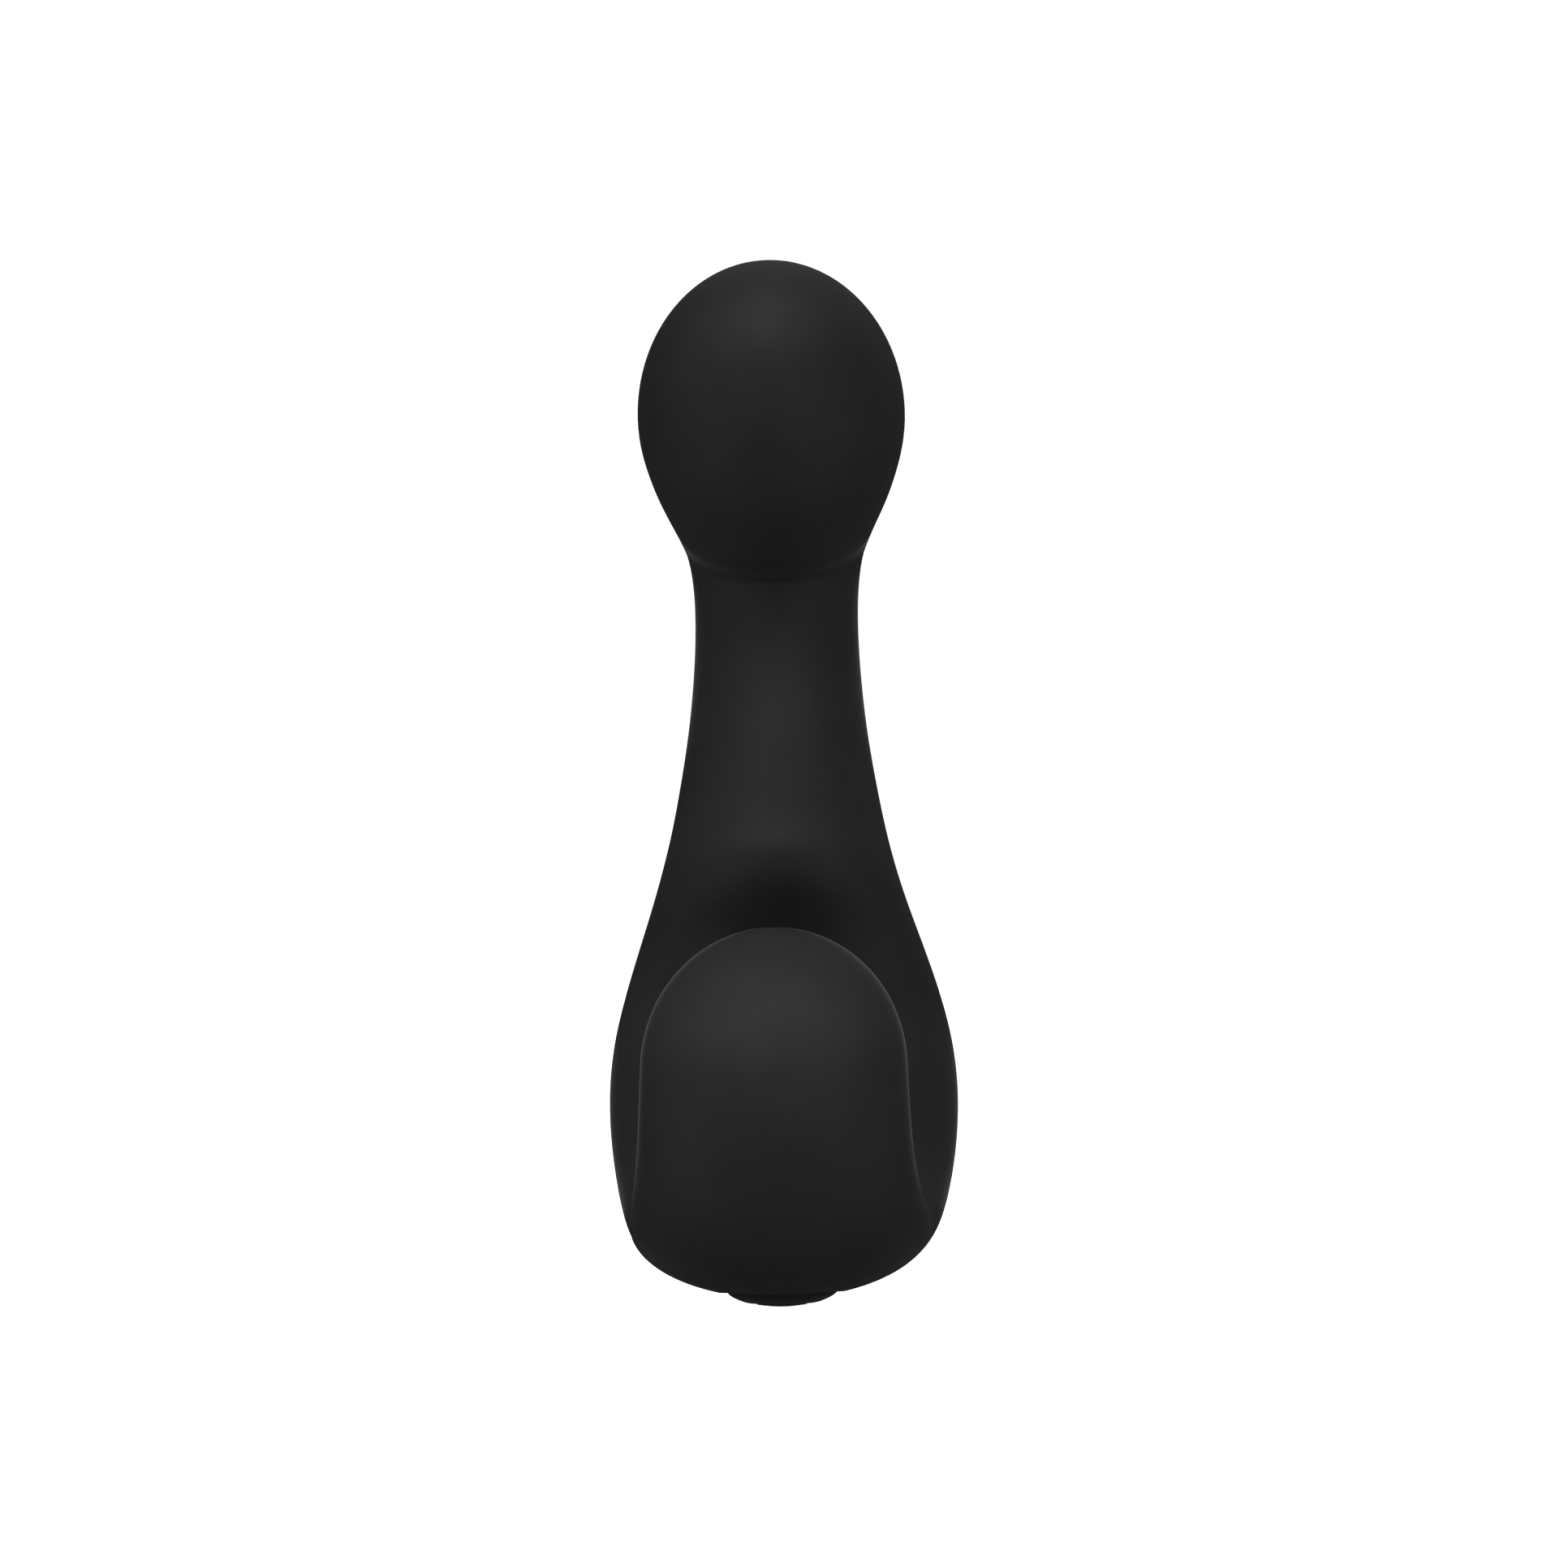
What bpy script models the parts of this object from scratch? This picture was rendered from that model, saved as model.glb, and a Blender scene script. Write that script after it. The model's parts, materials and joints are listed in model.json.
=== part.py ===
"""A curved hand-held massager: a silicone-covered J-shaped body with a ball head,
a short front arm, two vibration motors and one press button underneath.

Front is -Y, up is +Z. Lengths in the tables are millimetres; objects are metres.
"""

import math

import bmesh
import bpy
import numpy as np
from mathutils import Matrix, Vector
from mathutils.bvhtree import BVHTree

MM = 0.001
SHIFT_Y = 5.216  # brings the middle of the body's depth to Y = 0

# Wall build-up, measured inwards from the outer surface.
SKIN_THICK = 2.0
CORE_GAP = 0.4
CORE_WALL = 1.3
CORE_OUT = SKIN_THICK + CORE_GAP
CORE_IN = CORE_OUT + CORE_WALL

# Front arm: its rounded tip, and the arc that its front follows seen from the side.
ARM_SHOULDER_Z = 31.0
ARM_TIP_RISE = 18.0
ARM_HALF_WIDTH = 17.1
ARM_HALF_DEPTH = 8.1
ARM_ARC_Y = -2.0
ARM_ARC_Z = 23.0
ARM_ARC_RADIUS = 32.0

# Ball head: an egg on an axis that leans forward.
HEAD_Y = 0.4
HEAD_Z = 115.0
HEAD_LEAN = math.radians(29.0)
HEAD_RADIUS = 17.3
HEAD_REACH = 20.8
HEAD_LOWER = ((-16.6, 12.6), (-14.5, 13.5), (-11.0, 14.95), (-7.0, 16.25), (-3.0, 17.1))

# Sections of the body from the arm round the base and up to the crease under the head:
# outer edge y, z, inner edge y, z, and half width.
SECTIONS = (
    (-33.0, 31.0, -16.8, 31.0, 17.1),
    (-33.7, 23.5, -16.6, 26.2, 17.4),
    (-31.4, 14.5, -15.4, 22.6, 17.9),
    (-24.8, 6.0, -12.9, 20.7, 18.8),
    (-14.5, 1.7, -10.4, 20.1, 19.3),
    (-3.5, 1.0, -7.6, 20.3, 19.6),
    (8.5, 2.8, -5.0, 21.8, 20.7),
    (17.5, 9.6, -3.1, 25.0, 21.95),
    (22.0, 20.0, -1.9, 30.5, 22.66),
    (23.2, 31.5, -0.6, 36.5, 21.9),
    (22.6, 40.0, -0.3, 43.0, 19.95),
    (21.6, 45.5, -2.9, 49.5, 17.95),
    (20.7, 50.5, -5.9, 54.0, 16.35),
    (20.0, 55.0, -7.0, 58.2, 15.05),
    (19.5, 60.0, -6.0, 62.0, 13.95),
    (19.2, 66.0, -4.7, 67.0, 12.85),
    (19.0, 74.0, -2.8, 74.5, 11.6),
    (18.9, 82.0, -0.9, 82.0, 10.83),
    (18.9, 89.0, -0.1, 88.0, 10.58),
    (19.0, 96.0, -0.3, 91.8, 10.85),
    (19.1, 101.5, -0.9, 93.4, 11.5),
    (19.12, 105.5, -1.44, 94.1, 12.25),
)
CREASE_SUPPORT = 0.9  # distance of the ring just below the crease

# Control panel under the base, set in a window in the skin.
PANEL_Y = -3.5
PANEL_HALF_WIDTH = 7.1
PANEL_HALF_LENGTH = 10.2
PANEL_ROUNDNESS = 3.2  # exponent of the superellipse outline
PANEL_FACE_Z = 0.42
PANEL_TOP_Z = 4.4
WINDOW_GAP = 0.55
LIP_SLOPE = 1.3  # how far the skin's lip widens on its inner side
LIP_THIN = 0.9  # how much thinner the skin is at the lip

# Power button and the switch above it.
BUTTON_Y = -7.2
BUTTON_RADIUS = 3.4
BUTTON_BORE = 3.75
STEM_RADIUS = 1.3

# Charging contacts and light, behind the button.
LIGHT_Y = -1.6
PIN_Y = 2.0
PIN_X = 2.3

# Circuit board.
BOARD_Y = -5.4
BOARD_Z = 6.6
BOARD_THICK = 0.8
BOARD_WIDTH = 16.0
BOARD_LENGTH = 18.0

# Screws across the parting plane, y and z.
SCREWS = ((-18.0, 14.2), (12.3, 16.8), (12.3, 64.0), (11.6, 84.0))
BOSS_RADIUS = {"left": 2.9, "right": 2.2}
SCREW_RADIUS = 0.9
SCREW_HEAD_RADIUS = 1.6
SCREW_HEAD_DEEP = 1.3
SCREW_REACH = 4.6
SPLIT_GAP = 0.15
CLEAR = 0.3
HALF_SPACE = (60.0, 120.0, 200.0)  # block that covers one half of the body

# Vibration motors: radius, length, wall, shaft radius, and the weight's radius and length.
HEAD_MOTOR = (6.2, 16.0, 0.7, 0.75, 5.4, 5.0)
HEAD_MOTOR_BELOW = 11.0  # from the middle of the head down its axis to the motor's foot
ARM_MOTOR = (3.0, 12.0, 0.4, 0.5, 2.0, 3.2)
ARM_MOTOR_Y = -24.5
ARM_MOTOR_Z = 19.8

# Mesh detail: points round a section, step along the body, angles of the rounded ends.
FINE = 36
FINE_STEP = 3.6
FINE_TIP = (80, 68, 54, 40, 27, 13)
FINE_HEAD = (0, 11, 22, 33, 44, 55, 66, 77)
COARSE = 16
COARSE_STEP = 6.4
COARSE_TIP = (72, 45, 20)
COARSE_HEAD = (0, 20, 40, 60, 77)


def metres(x, y, z):
    """A point in millimetres as a vector in metres, in the part's frame."""
    return Vector((x * MM, (y + SHIFT_Y) * MM, z * MM))


def clear_scene():
    for thing in list(bpy.data.objects):
        bpy.data.objects.remove(thing, do_unlink=True)


def make_material(name, colour, roughness, metallic=0.0):
    made = bpy.data.materials.new(name)
    made.use_nodes = True
    shader = made.node_tree.nodes["Principled BSDF"]
    shader.inputs["Base Color"].default_value = (*colour, 1.0)
    shader.inputs["Roughness"].default_value = roughness
    shader.inputs["Metallic"].default_value = metallic
    return made


def add_object(name, bm, material, parent=None, smooth=True):
    """A named object from a bmesh, with its faces pointing out."""
    bmesh.ops.recalc_face_normals(bm, faces=bm.faces)
    mesh = bpy.data.meshes.new(name)
    bm.to_mesh(mesh)
    bm.free()
    if smooth:
        mesh.shade_smooth()
        mesh.set_sharp_from_angle(angle=math.radians(40))
    thing = bpy.data.objects.new(name, mesh)
    bpy.context.collection.objects.link(thing)
    thing.data.materials.append(material)
    thing.parent = parent
    return thing


def add_empty(name, location, rotation=(0.0, 0.0, 0.0)):
    empty = bpy.data.objects.new(name, None)
    empty.location = location
    empty.rotation_euler = rotation
    bpy.context.collection.objects.link(empty)
    return empty


def as_cutter(thing):
    thing.hide_render = True
    thing.display_type = "WIRE"
    return thing


def cut(thing, cutter, operation="DIFFERENCE"):
    boolean = thing.modifiers.new(operation.title(), "BOOLEAN")
    boolean.operation = operation
    boolean.object = cutter
    boolean.solver = "EXACT"


def turned(profile, steps=18, closed=False):
    """A turned solid about its own Z axis from (radius, height) points in millimetres."""
    bm = bmesh.new()
    rings = []
    for radius, height in profile:
        if radius == 0.0:
            rings.append([bm.verts.new((0.0, 0.0, height * MM))])
            continue
        ring = []
        for k in range(steps):
            angle = 2 * math.pi * k / steps
            place = Vector((radius * math.cos(angle), radius * math.sin(angle), height))
            ring.append(bm.verts.new(place * MM))
        rings.append(ring)
    pairs = list(zip(rings, rings[1:]))
    if closed:
        pairs.append((rings[-1], rings[0]))
    for low, high in pairs:
        join_rings(bm, low, high)
    return bm


def join_rings(bm, low, high):
    """Faces between two rings of points; a ring of one point is a pole."""
    count = max(len(low), len(high))
    for k in range(count):
        following = (k + 1) % count
        if len(low) == 1:
            bm.faces.new((low[0], high[following], high[k]))
        elif len(high) == 1:
            bm.faces.new((low[k], low[following], high[0]))
        else:
            bm.faces.new((low[k], low[following], high[following], high[k]))


def block(size, centre, bevel=0.0):
    """A box in millimetres, in the part's frame, with its edges bevelled."""
    bm = bmesh.new()
    scale = Matrix.Diagonal((size[0] * MM, size[1] * MM, size[2] * MM, 1.0))
    place = Matrix.Translation(metres(*centre))
    bmesh.ops.create_cube(bm, size=1.0, matrix=place @ scale)
    if bevel:
        bmesh.ops.bevel(
            bm, geom=bm.edges[:], offset=bevel * MM, segments=1, affect="EDGES"
        )
    return bm


# ---------------------------------------------------------------- body surface


def natural_spline(knots, values, at):
    """A natural cubic spline through rows of values, read at the given places."""
    step = np.diff(knots)
    count = len(knots)
    system = np.eye(count)
    right = np.zeros_like(values)
    slope = np.diff(values, axis=0) / step[:, None]
    for i in range(1, count - 1):
        system[i, i - 1] = step[i - 1]
        system[i, i] = 2 * (step[i - 1] + step[i])
        system[i, i + 1] = step[i]
        right[i] = 6 * (slope[i] - slope[i - 1])
    bend = np.linalg.solve(system, right)
    rows = []
    for place in at:
        i = int(np.clip(np.searchsorted(knots, place) - 1, 0, count - 2))
        left = (knots[i + 1] - place) / step[i]
        rest = 1.0 - left
        row = left * values[i] + rest * values[i + 1]
        row = row + ((left**3 - left) * bend[i] + (rest**3 - rest) * bend[i + 1]) * step[i] ** 2 / 6
        rows.append(row)
    return np.array(rows)


def tip_section(angle, inset):
    """One section of the arm's rounded tip: outer y, z, inner y, z, half width."""
    height = ARM_SHOULDER_Z + ARM_TIP_RISE * math.sin(angle)
    front = ARM_ARC_Y - math.sqrt(ARM_ARC_RADIUS**2 - (height - ARM_ARC_Z) ** 2)
    middle = front + ARM_HALF_DEPTH * math.cos(angle)
    depth = (ARM_HALF_DEPTH - inset) * math.cos(angle)
    width = (ARM_HALF_WIDTH - inset) * math.cos(angle)
    level = ARM_SHOULDER_Z + (ARM_TIP_RISE - inset) * math.sin(angle)
    return (middle - depth, level, middle + depth, level, width)


def head_section(along, radius):
    """One round section of the head, across its leaning axis."""
    y = HEAD_Y - along * math.sin(HEAD_LEAN)
    z = HEAD_Z + along * math.cos(HEAD_LEAN)
    back = Vector((math.cos(HEAD_LEAN), math.sin(HEAD_LEAN))) * radius
    return (y + back.x, z + back.y, y - back.x, z - back.y, radius)


def body_sections(inset, along_step, tip_angles, head_angles):
    """All sections from the arm's tip to the top of the head, at one inset."""
    sections = [tip_section(math.radians(a), inset) for a in tip_angles]
    table = np.array(SECTIONS)
    middle = (table[:, 0:2] + table[:, 2:4]) / 2
    run = np.hypot.reduce(np.diff(np.c_[middle, table[:, 4]], axis=0), axis=1)
    knots = np.r_[0.0, np.cumsum(run)]
    count = round(knots[-1] / along_step)
    places = np.linspace(0.0, knots[-1], count + 1)
    places = np.r_[places[:-1], knots[-1] - CREASE_SUPPORT, places[-1]]
    for row in natural_spline(knots, table, np.sort(places)):
        outer, inner = Vector(row[0:2]), Vector(row[2:4])
        back = (outer - inner).normalized() * inset
        sections.append((*(outer - back), *(inner + back), row[4] - inset))
    for along, radius in HEAD_LOWER:
        sections.append(head_section(along, radius - inset))
    for angle in head_angles:
        turn = math.radians(angle)
        along = (HEAD_REACH - inset) * math.sin(turn)
        sections.append(head_section(along, (HEAD_RADIUS - inset) * math.cos(turn)))
    return sections


def section_ring(section, steps):
    """Points round one section, starting at its outer edge."""
    outer, inner = Vector(section[0:2]), Vector(section[2:4])
    middle = (outer + inner) / 2
    reach = (outer - inner) / 2
    ring = []
    for k in range(steps):
        angle = 2 * math.pi * k / steps
        place = middle + reach * math.cos(angle)
        ring.append(metres(section[4] * math.sin(angle), place.x, place.y))
    return ring


def body_mesh(inset, steps, along_step, tip_angles, head_angles):
    """The closed body surface at one inset, and its rings of vertices."""
    bm = bmesh.new()
    sections = body_sections(inset, along_step, tip_angles, head_angles)
    pole = tip_section(math.pi / 2, inset)
    top = head_section(HEAD_REACH - inset, 0.0)
    rings = [[bm.verts.new(metres(0.0, pole[0], pole[1]))]]
    for section in sections:
        rings.append([bm.verts.new(p) for p in section_ring(section, steps)])
    rings.append([bm.verts.new(metres(0.0, top[0], top[1]))])
    for low, high in zip(rings, rings[1:]):
        join_rings(bm, low, high)
    bmesh.ops.recalc_face_normals(bm, faces=bm.faces)
    return bm, rings


def fine_body(inset):
    return body_mesh(inset, FINE, FINE_STEP, FINE_TIP, FINE_HEAD)


def coarse_body(inset):
    return body_mesh(inset, COARSE, COARSE_STEP, COARSE_TIP, COARSE_HEAD)


# ------------------------------------------------------------------ silicone skin


def panel_outline(u, v, grow):
    """A point of the panel's outline for a point on the edge of the unit square."""
    power = PANEL_ROUNDNESS
    scale = (abs(u) ** power + abs(v) ** power) ** (-1.0 / power)
    x = u * scale * (PANEL_HALF_WIDTH + grow)
    y = v * scale * (PANEL_HALF_LENGTH + grow)
    return x, PANEL_Y + y


def open_window(bm, rings, half_steps, grow, lower=0.0):
    """Removes the patch of faces over the panel, rounds the edge that is left and lowers it."""
    reach = PANEL_HALF_LENGTH + grow
    inside = [
        i for i, ring in enumerate(rings)
        if len(ring) > 1
        and ring[0].co.z < 0.012
        and abs(ring[0].co.y / MM - SHIFT_Y - PANEL_Y) < reach
    ]
    first, last = inside[0], inside[-1]
    tree = BVHTree.FromBMesh(bm)
    columns = list(range(-half_steps, half_steps + 1))
    doomed = {rings[i][k] for i in range(first + 1, last) for k in columns[1:-1]}
    patch = {rings[i][k] for i in range(first, last + 1) for k in columns}
    faces = [f for f in bm.faces if all(v in patch for v in f.verts)]
    front, back = rings[first][0].co.y, rings[last][0].co.y
    moves = {}
    for i in range(first, last + 1):
        v = 2 * (rings[i][0].co.y - front) / (back - front) - 1
        for k in columns:
            if i in (first, last) or abs(k) == half_steps:
                u = k / half_steps
                x, y = panel_outline(u, v, grow)
                below = metres(x, y, -50.0)
                hit = tree.ray_cast(below, Vector((0.0, 0.0, 1.0)))[0]
                moves[rings[i][k]] = hit - Vector((0.0, 0.0, lower * MM))
    bmesh.ops.delete(bm, geom=faces, context="FACES_ONLY")
    bmesh.ops.delete(bm, geom=[v for v in doomed if v.is_valid], context="VERTS")
    for vert, place in moves.items():
        vert.co = place


def build_skin(material):
    """Silicone skin: outer surface, inner surface and the window that joins them."""
    bm, rings = fine_body(0.0)
    open_window(bm, rings, 2, WINDOW_GAP)
    inner, inner_rings = coarse_body(SKIN_THICK)
    open_window(inner, inner_rings, 1, WINDOW_GAP + LIP_SLOPE, LIP_THIN)
    bmesh.ops.reverse_faces(inner, faces=inner.faces)
    lining = bpy.data.meshes.new("lining")
    inner.to_mesh(lining)
    inner.free()
    bm.from_mesh(lining)
    bpy.data.meshes.remove(lining)
    edges = [e for e in bm.edges if e.is_boundary]
    bmesh.ops.delete(bm, geom=[e for e in bm.edges if e.is_wire], context="EDGES")
    bmesh.ops.bridge_loops(bm, edges=[e for e in edges if e.is_valid])
    return add_object("silicone_skin", bm, material)


# ------------------------------------------------------------------ inner shells


def add_rods(name, start, end, radius):
    """One guide object with a rod along X at every screw."""
    bm = bmesh.new()
    turn = Matrix.Rotation(math.radians(90), 4, "Y")
    for y, z in SCREWS:
        place = Matrix.Translation(metres((start + end) / 2, y, z))
        bmesh.ops.create_cone(
            bm, cap_ends=True, segments=12, radius1=radius * MM, radius2=radius * MM,
            depth=abs(end - start) * MM, matrix=place @ turn,
        )
    return as_cutter(add_object(name, bm, None))


def panel_stack(levels, steps=28):
    """A closed solid through outlines of the panel at several heights."""
    bm = bmesh.new()
    rings = []
    for grow, z in levels:
        ring = []
        for k in range(steps):
            angle = 2 * math.pi * k / steps
            x, y = panel_outline(math.cos(angle), math.sin(angle), grow)
            ring.append(bm.verts.new(metres(x, y, z)))
        rings.append(ring)
    for low, high in zip(rings, rings[1:]):
        join_rings(bm, low, high)
    bm.faces.new(rings[0])
    bm.faces.new(rings[-1])
    return bm


def build_core(material):
    """Two hard shells that meet on the middle plane and carry everything inside."""
    cavity = as_cutter(add_object("core_cavity", coarse_body(CORE_IN)[0], None))
    middle = coarse_body(CORE_OUT + CORE_WALL / 2)[0]
    wall_middle = as_cutter(add_object("core_wall_middle", middle, None))
    prism = ((WINDOW_GAP, -5.0), (WINDOW_GAP, 6.2))
    opening = as_cutter(add_object("core_opening", panel_stack(prism), None))
    hole = SCREW_RADIUS + CLEAR
    half_width = HALF_SPACE[0] / 2
    seat = SCREW_REACH - SCREW_HEAD_DEEP - CLEAR
    for name, side in (("left", -1), ("right", 1)):
        shell = add_object(f"core_shell_{name}", coarse_body(CORE_OUT)[0], material)
        half = block(HALF_SPACE, (side * (half_width + SPLIT_GAP), 0.0, HEAD_Z / 2))
        keep = as_cutter(add_object(f"core_half_{name}", half, None))
        bosses = add_rods(f"core_bosses_{name}", 0.0, side * half_width, BOSS_RADIUS[name])
        cut(bosses, wall_middle, "INTERSECT")
        cut(shell, cavity)
        cut(shell, bosses, "UNION")
        cut(shell, keep, "INTERSECT")
        cut(shell, opening)
        if name == "left":
            cut(shell, add_rods("screw_clearance", 1.0, -seat - 1.0, hole))
            cut(shell, add_rods("screw_counterbore", -seat, -half_width, SCREW_HEAD_RADIUS + CLEAR))
        else:
            cut(shell, add_rods("screw_pilot", -1.0, SCREW_REACH + CLEAR, hole))


def build_screws(material):
    """Pan-head screws, head on the left, in the bosses of the two shells."""
    seat = SCREW_REACH - SCREW_HEAD_DEEP
    profile = (
        (0.0, -SCREW_REACH), (SCREW_HEAD_RADIUS * 0.7, -SCREW_REACH),
        (SCREW_HEAD_RADIUS, -SCREW_REACH + 0.5), (SCREW_HEAD_RADIUS, -seat),
        (SCREW_RADIUS, -seat), (SCREW_RADIUS, SCREW_REACH - 0.5), (0.0, SCREW_REACH),
    )
    for index, (y, z) in enumerate(SCREWS, start=1):
        screw = add_object(f"core_screw_{index}", turned(profile, 12), material)
        screw.location = metres(0.0, y, z)
        screw.rotation_euler = (0.0, math.radians(90), 0.0)


# --------------------------------------------------------------- panel and button


def build_panel(material):
    """Hard panel in the skin's window, with its bores for button, light and contacts."""
    levels = ((-2.2, PANEL_FACE_Z), (-0.8, 0.95), (0.0, 1.6), (0.0, PANEL_TOP_Z))
    panel = add_object("control_panel", panel_stack(levels), material)
    pocket = ((0.0, -2.0), (BUTTON_BORE, -2.0), (BUTTON_BORE, 2.9), (0.0, 2.9))
    stem = ((0.0, 2.0), (STEM_RADIUS + CLEAR, 2.0), (STEM_RADIUS + CLEAR, 9.0), (0.0, 9.0))
    bore = ((0.0, -2.0), (1.2, -2.0), (1.2, 9.0), (0.0, 9.0))
    holes = (
        ("pocket", pocket, 0.0, BUTTON_Y, 24),
        ("stem", stem, 0.0, BUTTON_Y, 14),
        ("light", bore, 0.0, LIGHT_Y, 14),
        ("pin_left", bore, -PIN_X, PIN_Y, 14),
        ("pin_right", bore, PIN_X, PIN_Y, 14),
    )
    for name, profile, x, y, steps in holes:
        cutter = add_object(f"panel_{name}_cutter", turned(profile, steps), None)
        cutter.location = metres(x, y, 0.0)
        cut(panel, as_cutter(cutter))


def build_button(plastic, seal_material):
    """Domed press button with a stem up to the switch, and a soft seal above its cap."""
    profile = (
        (0.0, 0.0), (1.2, 0.04), (2.3, 0.15), (3.05, 0.3), (BUTTON_RADIUS, 0.55),
        (BUTTON_RADIUS, 1.7), (STEM_RADIUS, 1.7), (STEM_RADIUS, 3.9), (0.0, 3.9),
    )
    button = add_object("power_button", turned(profile, 24), plastic)
    button.location = metres(0.0, BUTTON_Y, 0.0)
    ring = ((1.8, 2.3), (3.3, 2.3), (3.3, 2.6), (1.8, 2.6))
    seal = add_object("button_seal", turned(ring, 20, closed=True), seal_material)
    seal.location = metres(0.0, BUTTON_Y, 0.0)


def build_switch(body_material, metal):
    """Tact switch under the board; its plunger follows the button."""
    housing = block((4.6, 4.6, 1.5), (0.0, BUTTON_Y, 5.5))
    body = add_object("tact_switch_body", housing, body_material)
    bore = ((0.0, 3.0), (1.25, 3.0), (1.25, 6.1), (0.0, 6.1))
    cutter = add_object("switch_bore_cutter", turned(bore, 14), None)
    cutter.location = metres(0.0, BUTTON_Y, 0.0)
    cut(body, as_cutter(cutter))
    pin = ((0.0, 4.2), (0.9, 4.2), (0.9, 5.45), (0.0, 5.45))
    plunger = add_object("tact_switch_plunger", turned(pin, 12), metal)
    plunger.location = metres(0.0, BUTTON_Y, 0.0)


def build_contacts(gold, steel, clear):
    """Two charging pins with a holding magnet beside each, and the light pipe."""
    pin = ((0.0, 0.5), (0.9, 0.5), (0.9, 6.3), (0.0, 6.3))
    disc = ((0.0, 4.7), (1.3, 4.7), (1.3, 6.3), (0.0, 6.3))
    for name, side in (("left", -1), ("right", 1)):
        contact = add_object(f"charge_pin_{name}", turned(pin, 12), gold)
        contact.location = metres(side * PIN_X, PIN_Y, 0.0)
        magnet = add_object(f"charge_magnet_{name}", turned(disc, 16), steel)
        magnet.location = metres(side * 4.9, PIN_Y, 0.0)
    pipe = ((0.0, 0.55), (0.85, 0.55), (0.85, 5.4), (0.0, 5.4))
    light = add_object("light_pipe", turned(pipe, 14), clear)
    light.location = metres(0.0, LIGHT_Y, 0.0)


# ------------------------------------------------------------ board and battery


def build_board(board_material, chip_material, white, led_material):
    """Circuit board above the panel, with its chips, coil, light and three connectors."""
    top = BOARD_Z + BOARD_THICK + CLEAR
    middle = BOARD_Z + BOARD_THICK / 2
    board = block((BOARD_WIDTH, BOARD_LENGTH, BOARD_THICK), (0.0, BOARD_Y, middle))
    add_object("control_board", board, board_material)
    parts = (
        ("controller_chip", (4.0, 4.0, 0.9), -5.2, -6.0, top, chip_material),
        ("charger_chip", (3.0, 3.0, 0.9), 5.4, -4.2, top, chip_material),
        ("power_coil", (3.0, 3.0, 1.4), 5.4, -9.2, top, chip_material),
        ("head_lead_connector", (4.4, 2.6, 2.4), 0.0, 1.8, top, white),
        ("arm_lead_connector", (4.4, 2.6, 2.4), 0.0, -11.8, top, white),
        ("battery_connector", (3.8, 2.6, 2.4), 5.6, 1.8, top, white),
        ("status_light", (1.6, 1.2, 0.6), 0.0, LIGHT_Y, BOARD_Z - 0.9, led_material),
    )
    for name, size, x, y, low, finish in parts:
        add_object(name, block(size, (x, y, low + size[2] / 2), 0.15), finish)


def build_battery(foil, foam):
    """Lithium pouch cell behind the middle of the body, with a foam pad behind it."""
    cell = block((17.0, 5.4, 26.0), (0.0, 10.9, 39.0), 0.9)
    add_object("battery_cell", cell, foil)
    pad = block((12.0, 1.8, 20.0), (0.0, 14.8, 40.0), 0.3)
    add_object("battery_pad", pad, foam)


# ---------------------------------------------------------------------- motors


def eccentric(shaft, reach, low, high):
    """A half-round weight with a hub and a bore for the shaft."""
    bm = bmesh.new()
    hub = shaft + 1.0
    angles = [(math.radians(a), reach) for a in range(0, 181, 18)]
    angles += [(math.radians(a), hub) for a in range(186, 355, 24)]
    slices = []
    for angle, outer in angles:
        ray = Vector((math.cos(angle), math.sin(angle), 0.0))
        corners = ((outer, low), (outer, high), (shaft + CLEAR, high), (shaft + CLEAR, low))
        slices.append([bm.verts.new((ray * r + Vector((0, 0, z))) * MM) for r, z in corners])
    for here, following in zip(slices, slices[1:] + slices[:1]):
        join_rings(bm, here, following)
    return bm


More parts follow.
